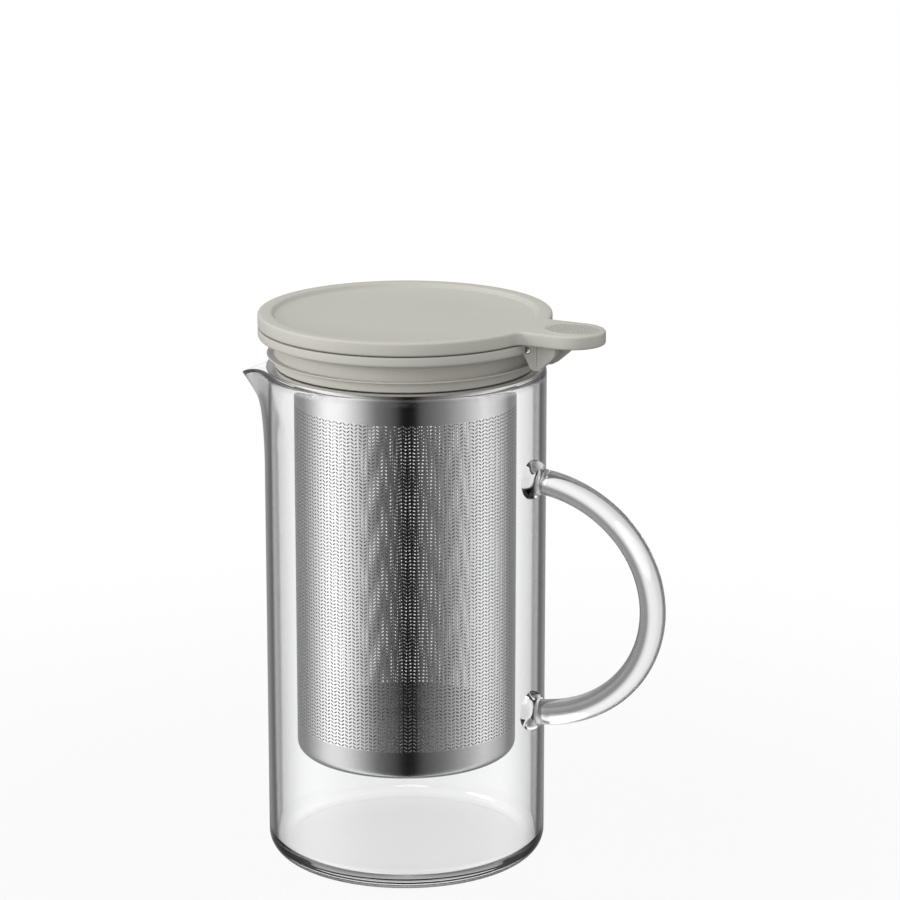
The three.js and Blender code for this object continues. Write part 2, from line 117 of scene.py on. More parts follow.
class Maker:
    """Makes meshes in metres from sizes in millimetres."""

    @staticmethod
    def linked(name: str, bm: bmesh.types.BMesh) -> bpy.types.Object:
        """Turns an edit mesh into an object at the origin and links it to the scene.

        Args:
            name: The object's name.
            bm: The edit mesh, which is used up.

        Returns:
            The new object.
        """
        mesh = bpy.data.meshes.new(name)
        bm.to_mesh(mesh)
        bm.free()
        made = bpy.data.objects.new(name, mesh)
        bpy.context.scene.collection.objects.link(made)
        return made

    @staticmethod
    def smooth(obj: bpy.types.Object, sharp: float) -> None:
        """Shades an object smooth, apart from the edges above an angle in degrees."""
        obj.data.shade_smooth()
        obj.data.set_sharp_from_angle(angle=math.radians(sharp))

    @staticmethod
    def solid(name: str, bm: bmesh.types.BMesh, sharp: float) -> bpy.types.Object:
        """Turns a closed edit mesh into a smooth object whose faces point outwards.

        Args:
            name: The object's name.
            bm: The edit mesh, which is used up.
            sharp: The angle in degrees above which an edge stays sharp.

        Returns:
            The new object.
        """
        bmesh.ops.recalc_face_normals(bm, faces=bm.faces)
        made = Maker.linked(name, bm)
        Maker.smooth(made, sharp)
        return made

    @staticmethod
    def loft(name: str, rings: Sequence[Ring], sharp: float, loop: bool = False) -> bpy.types.Object:
        """Skins rings of equal count, from the lowest outside ring over the outside and back in.

        Args:
            name: The object's name.
            rings: The rings, each anticlockwise from above, or of one point where the surface closes.
            sharp: The angle in degrees above which an edge stays sharp.
            loop: Whether the last ring joins the first one.

        Returns:
            The closed object.
        """
        bm = bmesh.new()
        rows = [[bm.verts.new(p * MM) for p in ring] for ring in rings]
        for low, high in [*zip(rows, rows[1:]), *([(rows[-1], rows[0])] if loop else [])]:
            count = max(len(low), len(high))
            for i in range(count):
                j = (i + 1) % count
                corners = [low[i % len(low)], low[j % len(low)], high[j % len(high)], high[i % len(high)]]
                bm.faces.new(tuple(dict.fromkeys(corners)))
        return Maker.solid(name, bm, sharp)

    @staticmethod
    def circle(radius: float, level: float, turns: Sequence[float]) -> Ring:
        """A ring of points at given turns, or one point where the radius is zero."""
        turns = turns if radius else turns[:1]
        return [Vector((radius * math.cos(t), radius * math.sin(t), level)) for t in turns]

    @staticmethod
    def turned(name: str, profile: Profile, sharp: float, loop: bool = False) -> bpy.types.Object:
        """Turns a profile of distance and height about the Z axis, closed on itself where it is a loop."""
        turns = around(ROUND)
        return Maker.loft(name, [Maker.circle(r, z, turns) for r, z in profile], sharp, loop)

    @staticmethod
    def oval(
        name: str, centre: float, half: Point, level: float, line: Profile, count: int, turn: float = 0.0
    ) -> bpy.types.Object:
        """Makes a fine raised line that runs round an oval.

        Args:
            name: The object's name.
            centre: The oval's distance from the axis, in millimetres.
            half: Its half length and half width, in millimetres.
            level: The height of the surface that it stands on.
            line: The line's section, as distance outwards and height.
            count: The number of points round the oval.
            turn: The oval's direction from the axis, in radians.

        Returns:
            The closed line.
        """
        spin = Matrix.Rotation(turn, 3, "Z")
        rings: list[Ring] = []
        for grow, rise in line:
            long, wide = half[0] + grow, half[1] + grow
            points = [(centre + long * math.cos(t), wide * math.sin(t), level + rise) for t in around(count)]
            rings.append([spin @ Vector(p) for p in points])
        return Maker.loft(name, rings, 60, loop=True)

    @staticmethod
    def swept(name: str, path: Sequence[Vector], radii: Sequence[float], sides: int) -> bpy.types.Object:
        """Sweeps a round section along a path in the XZ plane.

        Args:
            name: The object's name.
            path: The centre line's points, in millimetres.
            radii: The section's radius at each point.
            sides: The number of points round the section.

        Returns:
            The closed rod.
        """
        rings: list[Ring] = []
        across = Vector((0, 1, 0))
        for i, (centre, radius) in enumerate(zip(path, radii)):
            ahead = (path[min(i + 1, len(path) - 1)] - path[max(i - 1, 0)]).normalized()
            side = across.cross(ahead)
            turns = around(sides)
            rings.append([centre + radius * (math.cos(t) * across + math.sin(t) * side) for t in turns])
        return Maker.loft(name, [[path[0]], *rings, [path[-1]]], 50)

    @staticmethod
    def plate(
        name: str, outline: Profile, y0: float, y1: float, bevel: float = 0.0, sharp: float = 30.0
    ) -> bpy.types.Object:
        """Makes a plate cut to an outline in the XZ plane.

        Args:
            name: The object's name.
            outline: The outline's points, in millimetres.
            y0: One face's place along Y.
            y1: The other face's place along Y.
            bevel: The width of the softened edge, or zero for none.
            sharp: The angle in degrees above which an edge stays sharp.

        Returns:
            The plate.
        """
        bm = bmesh.new()
        near, far = ([bm.verts.new(Vector((x, y, z)) * MM) for x, z in outline] for y in (y0, y1))
        faces = [bm.faces.new(near), bm.faces.new(list(reversed(far)))]
        for i in range(len(outline)):
            j = (i + 1) % len(outline)
            bm.faces.new((near[j], near[i], far[i], far[j]))
        if bevel:
            rims = [e for f in faces for e in f.edges]
            size = {"offset": bevel * MM, "segments": 3, "profile": 0.5}
            bmesh.ops.bevel(bm, geom=rims, affect="EDGES", clamp_overlap=True, **size)
        return Maker.solid(name, bm, sharp)

    @staticmethod
    def evaluated(obj: bpy.types.Object) -> None:
        """Turns an object's modifiers into its own mesh and removes them.

        Args:
            obj: The object.
        """
        bpy.context.view_layer.update()
        graph = bpy.context.evaluated_depsgraph_get()
        mesh = bpy.data.meshes.new_from_object(obj.evaluated_get(graph), depsgraph=graph)
        obj.modifiers.clear()
        obj.data = mesh

    @staticmethod
    def cut(target: bpy.types.Object, tool: bpy.types.Object, sharp: float = 40.0) -> bpy.types.Object:
        """Cuts one solid out of another and deletes it.

        Args:
            target: The solid that stays.
            tool: The solid that is used up.
            sharp: The angle in degrees above which an edge stays sharp.

        Returns:
            The target.
        """
        modifier = target.modifiers.new("cut", "BOOLEAN")
        modifier.operation = "DIFFERENCE"
        modifier.solver = "EXACT"
        modifier.object = tool
        Maker.evaluated(target)
        bpy.data.objects.remove(tool)
        Maker.smooth(target, sharp)
        return target


def dress(
    obj: bpy.types.Object, finish: bpy.types.Material, body: Body, slot: Slot, *nodes: str
) -> bpy.types.Object:
    """Gives a piece its finish and its body, and hides the CAD nodes that it stands for.

    Args:
        obj: The piece.
        finish: Its material.
        body: The body that it rides on.
        slot: The record's slot that its finish belongs to; not used.
        *nodes: The CAD nodes that it replaces.

    Returns:
        The piece.
    """
    obj.data.materials.clear()
    obj.data.materials.append(finish)
    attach(obj, body.value)
    if nodes:
        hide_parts(*nodes)
    LOG.info("%s: %d faces on %s", obj.name, len(obj.data.polygons), body.value)
    return obj


class Tree:
    """A node tree with a few shorthands, in which a feed is another node's output or a constant."""

    def __init__(self, tree: bpy.types.NodeTree) -> None:
        """Takes a tree and empties it."""
        self.tree = tree
        self.tree.nodes.clear()

    def feed(self, socket: Socket, value: Feed) -> None:
        """Links an output to a socket, or sets a constant on it.

        Args:
            socket: The socket.
            value: The output or constant.
        """
        if isinstance(value, Socket):
            self.tree.links.new(value, socket)
        else:
            socket.default_value = value

    def node(self, kind: str, feeds: dict[str | int, Feed] | None = None, **settings: object) -> bpy.types.Node:
        """Adds a node.

        Args:
            kind: Its type.
            feeds: A feed for each of its inputs that isn't left as it is.
            **settings: Its properties.

        Returns:
            The node.
        """
        made = self.tree.nodes.new(kind)
        for key, value in settings.items():
            setattr(made, key, value)
        for key, value in (feeds or {}).items():
            self.feed(made.inputs[key], value)
        return made

    def math(self, operation: str, *values: Feed, clamp: bool = False) -> Socket:
        """Adds a Math node and returns its output."""
        feeds = dict(enumerate(values))
        return self.node("ShaderNodeMath", feeds, operation=operation, use_clamp=clamp).outputs[0]

    def vector(self, operation: str, *values: Feed) -> bpy.types.Node:
        """Adds a Vector Math node."""
        return self.node("ShaderNodeVectorMath", dict(enumerate(values)), operation=operation)

    def length(self, value: Socket) -> Socket:
        """Adds a vector's length."""
        return self.vector("LENGTH", value).outputs["Value"]

    def parts(self, value: Socket) -> bpy.types.NodeOutputs:
        """Adds a vector's three parts, by the names X, Y and Z."""
        return self.node("ShaderNodeSeparateXYZ", {0: value}).outputs

    def place(self, kind: str = "Object") -> Socket:
        """Adds the place on the piece, in Object coordinates unless another kind is named."""
        return self.node("ShaderNodeTexCoord").outputs[kind]

    def ranged(self, value: Socket, span: Point, target: Point = (0.0, 1.0), soft: bool = False) -> Socket:
        """Maps a value from one range to another.

        Args:
            value: The value.
            span: The range that it is read over.
            target: The range that comes out.
            soft: Whether it eases in and out at the ends.

        Returns:
            The mapped value.
        """
        ends = {"From Min": span[0], "From Max": span[1], "To Min": target[0], "To Max": target[1]}
        kind = "SMOOTHSTEP" if soft else "LINEAR"
        return self.node("ShaderNodeMapRange", {"Value": value, **ends}, interpolation_type=kind).outputs[0]

    def eased(self, value: Socket, start: float, end: float, low: float = 0.0, high: float = 1.0) -> Socket:
        """Maps a value from one range to another with soft ends."""
        return self.ranged(value, (start, end), (low, high), soft=True)

    def blend(self, share: Socket, first: Feed, second: Feed) -> Socket:
        """Mixes two colours by a share."""
        return self.node("ShaderNodeMix", {0: share, 6: first, 7: second}, data_type="RGBA").outputs[2]

    def mixed(self, share: Socket, first: Socket, second: Socket) -> Socket:
        """Mixes two shaders by a share."""
        return self.node("ShaderNodeMixShader", {0: share, 1: first, 2: second}).outputs[0]

    def ramp(self, value: Socket, levels: Profile, cool: float = 1.0) -> Socket:
        """Adds a grey ramp.

        Args:
            value: What the ramp reads, from 0 to 1.
            levels: Each stop's place and level, in order.
            cool: Green and blue as a share of red.

        Returns:
            Its colour.
        """
        made = self.node("ShaderNodeValToRGB", {0: value})
        stops = made.color_ramp.elements
        stops[0].position, stops[1].position = levels[0][0], levels[-1][0]
        for spot, _ in levels[1:-1]:
            stops.new(spot)
        for stop, (_, level) in zip(stops, levels):
            stop.color = (level, level * cool, level * cool, 1)
        return made.outputs[0]


class Shader(Tree):
    """A material's node tree with a Principled shader."""

    def __init__(self, name: str, **sockets: Feed) -> None:
        """Starts a material.

        Args:
            name: Its name.
            **sockets: A feed for each socket of the Principled shader that isn't left as it is.
        """
        self.material = bpy.data.materials.new(name)
        self.material.use_nodes = True
        super().__init__(self.material.node_tree)
        self.output = self.node("ShaderNodeOutputMaterial")
        self.principled = self.node("ShaderNodeBsdfPrincipled")
        self.surface(self.principled.outputs[0])
        self.set(**sockets)

    def surface(self, shader: Socket) -> None:
        """Makes a shader the material's surface."""
        self.feed(self.output.inputs["Surface"], shader)

    def set(self, **sockets: Feed) -> None:
        """Feeds sockets of the Principled shader, whose names are written with underscores."""
        for key, value in sockets.items():
            self.feed(self.principled.inputs[key.replace("_", " ")], value)

    @staticmethod
    def grain_group() -> bpy.types.NodeTree:
        """Makes the group that puts out noise in Object coordinates, when it is first asked for.

        Returns:
            The group that all finishes share.
        """
        made = bpy.data.node_groups.get("grain")
        if made:
            return made
        made = bpy.data.node_groups.new("grain", "ShaderNodeTree")
        for name, kind in (("Stretch", "Vector"), ("Scale", "Float"), ("Detail", "Float")):
            made.interface.new_socket(name, in_out="INPUT", socket_type=f"NodeSocket{kind}")
        made.interface.new_socket("Height", in_out="OUTPUT", socket_type="NodeSocketFloat")
        tree = Tree(made)
        given = tree.node("NodeGroupInput").outputs
        mapped = tree.node("ShaderNodeMapping", {"Vector": tree.place(), "Scale": given["Stretch"]}).outputs[0]
        feeds = {"Vector": mapped, "Scale": given["Scale"], "Detail": given["Detail"]}
        tree.node("NodeGroupOutput", {"Height": tree.node("ShaderNodeTexNoise", feeds).outputs[0]})
        return made

    def grain(self, stretch: tuple[float, float, float], scale: float, detail: float) -> Socket:
        """Places the grain group with its own values and returns its height."""
        feeds = {"Stretch": stretch, "Scale": scale, "Detail": detail}
        return self.node("ShaderNodeGroup", feeds, node_tree=self.grain_group()).outputs[0]

    def bump(self, height: Socket, strength: float, depth: float) -> None:
        """Feeds a height to the shader's normal, with a depth in metres."""
        feeds = {"Height": height, "Strength": strength, "Distance": depth}
        self.set(Normal=self.node("ShaderNodeBump", feeds).outputs[0])


@dataclass
class GlassPitcher:
    """The pitcher: a blown body with its pulled spout, and the rod handle that is welded to it."""

    radius: float = 53.0
    height: float = 190.0
    wall: float = 2.4
    floor: float = 4.6
    foot_corner: float = 8.0
    floor_corner: float = 5.0
    wall_levels: tuple[float, ...] = (40.0, 80.0, 120.0)
    spout_reach: float = 17.8
    spout_dip: float = 9.0
    spout_depth: float = 36.0
    spout_rings: int = 22
    spout_spacing: float = 0.8
    tip_rounding: float = 3.0
    flare: float = 1.4
    body_sides: int = 288
    rod: float = 9.6
    rod_foot: float = 15.0
    rod_sides: int = 48
    bead: float = 3.8
    bead_steps: tuple[float, ...] = (
        0.3, 0.5, 1.0, 1.5, 2.0, 2.4, 2.8, 3.1, 3.35, 3.55, 3.7, 3.8, 4.0, 4.4, 5.0,
    )
    weld: float = 0.1
    cap_shares: tuple[float, ...] = (0.3, 0.6, 0.85, 1.0)
    cap_step: float = 0.001
    cap_reach: float = 0.02
    handle_middle: float = 108.0
    handle_rise: float = 45.0
    handle_reach: float = 50.0
    handle_steps: int = 40

    def profile(self) -> list[Point]:
        """Draws the wall's section.

        Returns:
            Its points, from the foot up the outside, over the rim and down the inside.
        """
        inner, lip = self.radius - self.wall, self.wall / 2
        rim, start = self.height - lip, self.height - self.spout_depth
        shares = [(i / self.spout_rings) ** self.spout_spacing for i in range(self.spout_rings)]
        levels = [*self.wall_levels, *(start + (rim - start) * share for share in shares)]
        foot, floor = self.foot_corner, self.floor_corner
        return [
            (0.0, 0.0),
            (self.radius / 2, 0.0),
            *arc(self.radius - foot, foot, foot, -90, 0, 12),
            *[(self.radius, z) for z in levels],
            *arc(self.radius - lip, rim, lip, 0, 180, 12),
            *[(inner, z) for z in reversed(levels)],
            *arc(inner - floor, self.floor + floor, floor, 0, -90, 10),
            (inner / 2, self.floor),
            (0.0, self.floor),
        ]

    def drawn(self, point: Vector) -> Vector:
        """Moves a point of the turned body to where the spout is drawn out and down.

        Args:
            point: A point of the round body, in millimetres.

        Returns:
            The point's place on the finished body.
        """
        rise = (point.z - self.height + self.spout_depth) / self.spout_depth
        radius = math.hypot(point.x, point.y)
        if rise <= 0 or radius < self.radius / 2:
            return point
        tangent = math.acos(self.radius / (self.radius + self.spout_reach))
        rounding = self.tip_rounding / self.radius
        turn = math.hypot(math.atan2(point.y, -point.x), rounding) - rounding
        if turn >= tangent:
            return point
        pull = self.radius / math.cos(tangent - turn) - self.radius
        scale = (radius + pull * rise**self.flare) / radius
        dip = self.spout_dip * rise * pull / self.spout_reach
        return Vector((point.x * scale, point.y * scale, point.z - dip))

    def body(self) -> bpy.types.Object:
        """Makes the blown body.

        Returns:
            The body.
        """
        turns = around(self.body_sides)
        rings = [[self.drawn(p) for p in Maker.circle(r, z, turns)] for r, z in self.profile()]
        return Maker.loft("glass_pitcher", rings, 60)

    def handle(self) -> bpy.types.Object:
        """Makes the bent rod, whose ends swell to beads that follow the round of the wall.

        Returns:
            The rod.
        """
        near = [math.acos(away / self.handle_reach) for away in self.bead_steps]
        steps = self.handle_steps
        upper = near + [near[-1] * (1 - i / steps) for i in range(1, steps + 1)]
        path, radii = [], []
        for turn in upper + [-a for a in reversed(upper[:-1])]:
            x = self.radius + self.handle_reach * math.cos(turn)
            path.append(Vector((x, 0, self.handle_middle + self.handle_rise * math.sin(turn))))
            away = max(0.0, path[-1].x - self.radius) / self.bead
            swell = (self.rod_foot - self.rod) / 2 * math.sqrt(max(0.0, 1 - away**2))
            radii.append(self.rod / 2 + swell)
        seat = self.radius + self.weld
        caps = [(seat + self.cap_step * i, radii[0] * share) for i, share in enumerate(self.cap_shares)]
        path = [
            *(Vector((x, 0, path[0].z)) for x, _ in caps), *path,
            *(Vector((x, 0, path[-1].z)) for x, _ in reversed(caps)),
        ]
        ends = [radius for _, radius in caps]
        rod = Maker.swept("glass_rod", path, [*ends, *radii, *reversed(ends)], self.rod_sides)
        for vertex in rod.data.vertices:
            if vertex.co.x < (seat + self.cap_reach) * MM:
                vertex.co.x = math.sqrt((seat * MM) ** 2 - vertex.co.y**2)
        return rod

    def build(self, glass: bpy.types.Material) -> None:
        """Makes the pitcher's body and handle and gives them their finish.

        Args:
            glass: The finish.
        """
        for part, node in ((self.body(), "glass_body"), (self.handle(), "glass_handle")):
            part.visible_shadow = False
            dress(part, glass, Body.PITCHER, Slot.GLASS, node)


@dataclass(frozen=True)
class ClearGlass:
    """Blown borosilicate glass: clear, with the grey that a long way through the wall gives its edges.

    The wall's tint goes by how far it is turned away: a faint grey for the long way through the glass, and a
    narrow dark band that is painted shade for the lines at its edges. The rod's tint goes by the place across
    it and is painted shade, darker on its inner half and lighter on its outer half for a painted highlight.
    Where the surface lies flat, at the rim, on the spout and at the weld, the glass has one even tint. The
    spans of these masks are in millimetres, from the rim down, from the wall out towards the spout, and from
    the wall out towards the handle.
    """

    pitcher: GlassPitcher
    refraction: float = 1.47
    flat: float = 0.96
    cool: float = 1.003
    rim_clear: float = 0.2
    lying: Point = (0.25, 0.7)
    rim_span: Point = (3.5, 1.6)
    spout_span: Point = (0.5, 5.0)
    weld_span: Point = (0.1, 0.6)
    rod_span: Point = (3.5, 6.0)
    # Tint by facing: faint grey for the long way through glass; the dark band near 0.7 is painted shade.
    tint: Profile = (
        (0.0, 0.99), (0.42, 0.98), (0.5, 0.96), (0.64, 0.94), (0.67, 0.9), (0.7, 0.34), (0.74, 0.3),
        (0.78, 0.5), (0.86, 0.85), (1.0, 0.95),
    )
    # Painted shade across the rod: dark on its inner half, lighter on its outer half for a painted highlight.
    rod_painted_shade: Profile = (
        (0.0, 0.5), (0.08, 0.27), (0.18, 0.22), (0.25, 0.33), (0.41, 0.22), (0.5, 0.32), (0.58, 0.75),
        (0.66, 0.93), (0.8, 0.9), (0.92, 0.7), (1.0, 0.5),
    )

    def across(self, shader: Shader) -> Socket:
        """Adds a value that runs from 0 on the rod's inner side to 1 on its outer side.

        Args:
            shader: The glass.

        Returns:
            The value.
        """
        glass = self.pitcher
        middle = (glass.radius * MM, 0, glass.handle_middle * MM)
        size = (1 / (glass.handle_reach * MM), 0, 1 / (glass.handle_rise * MM))
        shift = shader.vector("SUBTRACT", shader.place(), middle).outputs[0]
        away = shader.length(shader.vector("MULTIPLY", shift, size).outputs[0])
        half = glass.rod / (glass.handle_reach + glass.handle_rise)
        return shader.ranged(away, (1 - half, 1 + half))

    def material(self) -> bpy.types.Material:
        """Makes the glass.

        Returns:
            The glass, greyer where the wall is seen edge on, with painted shade there and across the drawn rod.
        """
        wide, high = self.pitcher.radius, self.pitcher.height
        shader = Shader("clear_borosilicate", Roughness=0.0, IOR=self.refraction, Transmission_Weight=1.0)
        surface = shader.node("ShaderNodeNewGeometry").outputs
        side = shader.parts(shader.place())
        rim = shader.eased(side["Z"], *((high - drop) * MM for drop in self.rim_span))
        spout = shader.eased(side["X"], *((-wide - out) * MM for out in self.spout_span))
        weld = shader.eased(side["X"], *((wide + out) * MM for out in self.weld_span))
        on_rod = shader.eased(side["X"], *((wide + out) * MM for out in self.rod_span))
        level = shader.eased(shader.math("ABSOLUTE", shader.parts(surface["Normal"])["Z"]), *self.lying)
        for mask in (rim, spout, weld):
            level = shader.math("MAXIMUM", level, mask)
        # Faint grey for the long way through the wall, with a band of painted shade at its edges.
        facing = shader.node("ShaderNodeLayerWeight", {"Blend": 0.5}).outputs["Facing"]
        wall = shader.blend(level, shader.ramp(facing, self.tint, self.cool), grey(self.flat))
        # Painted shade and painted highlight across the rod; the side where rays leave stays clear.
        squared_rod_shade = [(spot, share**2) for spot, share in self.rod_painted_shade]
        rod = shader.ramp(self.across(shader), squared_rod_shade, self.cool)
        rod = shader.blend(surface["Backfacing"], rod, grey(1.0))
        shader.set(Base_Color=shader.blend(on_rod, wall, rod))
        self.let_through(shader, rim)
        return shader.material

    def let_through(self, shader: Shader, rim: Socket) -> None:
        """Lets a share of rays pass the rim, and all that a piece of steel has mirrored pass the glass.

        The steel so shows the studio alone. A ray inside the glass has gone through an odd number of its
        surfaces, so those that turn within it stay as they are.

        Args:
            shader: The glass.
            rim: The mask that is 1 on the rim.
        """
        rays = shader.node("ShaderNodeLightPath").outputs
        mirrored = shader.math("GREATER_THAN", rays["Glossy Depth"], 0.5)
        within = shader.math("FLOORED_MODULO", rays["Transmission Depth"], 2.0)
        passing = shader.math("SUBTRACT", mirrored, within, clamp=True)
        most = shader.math("MAXIMUM", passing, shader.math("MULTIPLY", rim, self.rim_clear))
        clear = shader.node("ShaderNodeBsdfTransparent").outputs[0]
        shader.surface(shader.mixed(most, shader.principled.outputs[0], clear))


@dataclass(frozen=True)
class Stainless:
    """Stainless sheet with the fine lines of its brushing.

    A perforated sheet has an outer radius and a thickness in millimetres. Its slots' cut walls carry painted
    shade, its inside is dull, and each change runs over the skin's two depths.
    """

    name: str
    tone: tuple[float, float, float] = (0.8, 0.8, 0.795)
    rough: float = 0.14
    relief: float = 0.04
    relief_depth: float = 0.00004
    lines: tuple[float, float, float] = (12.0, 12.0, 2600.0)
    radius: float = 0.0
    sheet: float = 0.0
    spread: Point = (-0.05, 0.06)
    skin: Point = (0.03, 0.05)
    # Painted shade: the dark colour of the slots' cut walls.
    cut: float = 0.15
    inside: float = 0.9
    dull: float = 0.6

    def layers(self, shader: Shader, gloss: Socket) -> None:
        """Paints shade on the slots' cut walls and dulls the inside, by the distance from the tube's axis.

        Args:
            shader: The steel.
            gloss: The roughness of its outside.
        """
        away = shader.length(shader.vector("MULTIPLY", shader.place(), (1, 1, 0)).outputs[0])
        outside, inside = self.radius * MM, (self.radius - self.sheet) * MM
        near, deep = (depth * MM for depth in self.skin)
        walls = shader.ranged(away, (outside - near, outside - deep))
        back = shader.ranged(away, (inside + deep, inside + near))
        # Painted shade on the slots' cut walls, which are also dull.
        colour = shader.blend(walls, (*self.tone, 1), grey(self.cut))
        rough = shader.node("ShaderNodeMix", {0: walls, 2: gloss, 3: self.dull}).outputs[0]
        shader.set(Base_Color=shader.blend(back, colour, grey(self.inside)), Roughness=rough)

    def material(self) -> bpy.types.Material:
        """Makes the steel.

        Returns:
            The brushed steel.
        """
        shader = Shader(self.name, Base_Color=(*self.tone, 1), Metallic=1.0)
        noise = shader.grain(self.lines, 1.0, 4.0)
        low, high = (self.rough + way for way in self.spread)
        gloss = shader.ranged(noise, (0.0, 1.0), (low, high))
        shader.set(Roughness=gloss)
        if self.sheet:
            self.layers(shader, gloss)
        if self.relief:
            shader.bump(noise, self.relief, self.relief_depth)
        return shader.material


@dataclass(frozen=True)
class Moulded:
    """A moulded finish with a fine even texture and a faint drift in its colour."""

    name: str
    tone: tuple[float, float, float]
    rough: float
    sheen: float = 0.0
    specular: float = 0.35
    spread: float = 0.05
    drift: float = 0.035
    drift_scale: float = 26.0
    texture_scale: float = 2600.0
    texture: float = 0.12
    texture_depth: float = 0.00005

    def material(self) -> bpy.types.Material:
        """Makes the moulded finish.

        Returns:
            The finish.
        """
        shader = Shader(self.name, Sheen_Weight=self.sheen, Specular_IOR_Level=self.specular)
        even = (1, 1, 1)
        deep, pale = ((*(c * (1 + way * self.drift) for c in self.tone), 1) for way in (-1, 1))
        shader.set(Base_Color=shader.blend(shader.grain(even, self.drift_scale, 2.0), deep, pale))
        texture = shader.grain(even, self.texture_scale, 2.0)
        gloss = (self.rough - self.spread, self.rough + self.spread)
        shader.set(Roughness=shader.ranged(texture, (0.0, 1.0), gloss))
        shader.bump(texture, self.texture, self.texture_depth)
        return shader.material


@dataclass(frozen=True)
class Tongue:
    """A round disc's outline with a filleted tongue that leaves it, as the lid and the flange have."""

    disc: float
    root: float
    end: float
    length: float
    fillet: float
    turn: float = 0.0

    def outline(self, inset: float = 0.0) -> list[Vector]:
        """Draws the outline.

        Args:
            inset: How far each point lies inside the full outline, in millimetres.

        Returns:
            The points at height zero, anticlockwise, in millimetres.
        """
        tip, fillet = self.end / 2, self.fillet + inset
        fy = self.root / 2 + self.fillet
        fx = math.sqrt((self.disc + self.fillet) ** 2 - fy**2)
        root = math.degrees(math.atan2(fy, fx))
        points = [
            *arc(fx, -fy, fillet, 180 - root, 90, 20),
            *arc(self.disc + self.length - tip, 0, tip - inset, -90, 90, 40),
            *arc(fx, fy, fillet, -90, root - 180, 20),
            *arc(0, 0, self.disc - inset, root, 360 - root, 300)[1:-1],
        ]
        spin = Matrix.Rotation(self.turn, 3, "Z")
        return [spin @ Vector((x, y, 0)) for x, y in points]

    def ring(self, inset: float, level: float) -> Ring:
        """The outline at a height, drawn in by an inset."""
        return [p + Vector((0, 0, level)) for p in self.outline(inset)]

    def turns(self) -> list[float]:
        """The angle of each point of the outline, for the round rings inside it."""
        return [math.atan2(p.y, p.x) for p in self.outline()]


class Nodes(Tree):
    """A Geometry Nodes tree that repeats a unit and ends in Realize Instances and Set Material."""

    def __init__(self, name: str, inputs: dict[str, str]) -> None:
        """Starts a tree.

        Args:
            name: Its name.
            inputs: The type of each named input, between the unit and the finish.
        """
        super().__init__(bpy.data.node_groups.new(name, "GeometryNodeTree"))
        self.ids: dict[str, str] = {}
        for key, kind in {"Unit": "Geometry", **inputs, "Finish": "Material"}.items():
            made = self.tree.interface.new_socket(key, in_out="INPUT", socket_type=f"NodeSocket{kind}")
            self.ids[key] = made.identifier
        self.tree.interface.new_socket("Geometry", in_out="OUTPUT", socket_type="NodeSocketGeometry")
        self.given = self.node("NodeGroupInput").outputs

    def repeated(self, points: Socket, scale: Feed = (1.0, 1.0, 1.0)) -> Socket:
        """Puts the unit on points and makes the copies real.

        Args:
            points: The geometry whose points it goes on.
            scale: Its scale on each point.

        Returns:
            The repeated geometry.
        """
        feeds = {"Points": points, "Instance": self.given["Unit"], "Scale": scale}
        placed = self.node("GeometryNodeInstanceOnPoints", feeds).outputs["Instances"]
        return self.node("GeometryNodeRealizeInstances", {"Geometry": placed}).outputs["Geometry"]

    def finish(self, geometry: Socket, weld: float) -> None:
        """Ends the tree: welds what touches, sets the material and gives the geometry out.

        Args:
            geometry: The repeated geometry.
            weld: The distance below which points are one, in metres.
        """
        merge = self.node("GeometryNodeMergeByDistance", {"Geometry": geometry, "Distance": weld})
        feeds = {"Geometry": merge.outputs["Geometry"], "Material": self.given["Finish"]}
        self.node("NodeGroupOutput", {0: self.node("GeometryNodeSetMaterial", feeds).outputs["Geometry"]})

    def apply(self, obj: bpy.types.Object, values: dict[str, object]) -> None:
        """Runs the tree on an object and leaves its result as a plain mesh.

        Args:
            obj: The object that holds the repeated unit.
            values: A value for each named input.
        """
        modifier = obj.modifiers.new(self.tree.name, "NODES")
        modifier.node_group = self.tree
        for name, value in values.items():
            modifier[self.ids[name]] = value
        Maker.evaluated(obj)


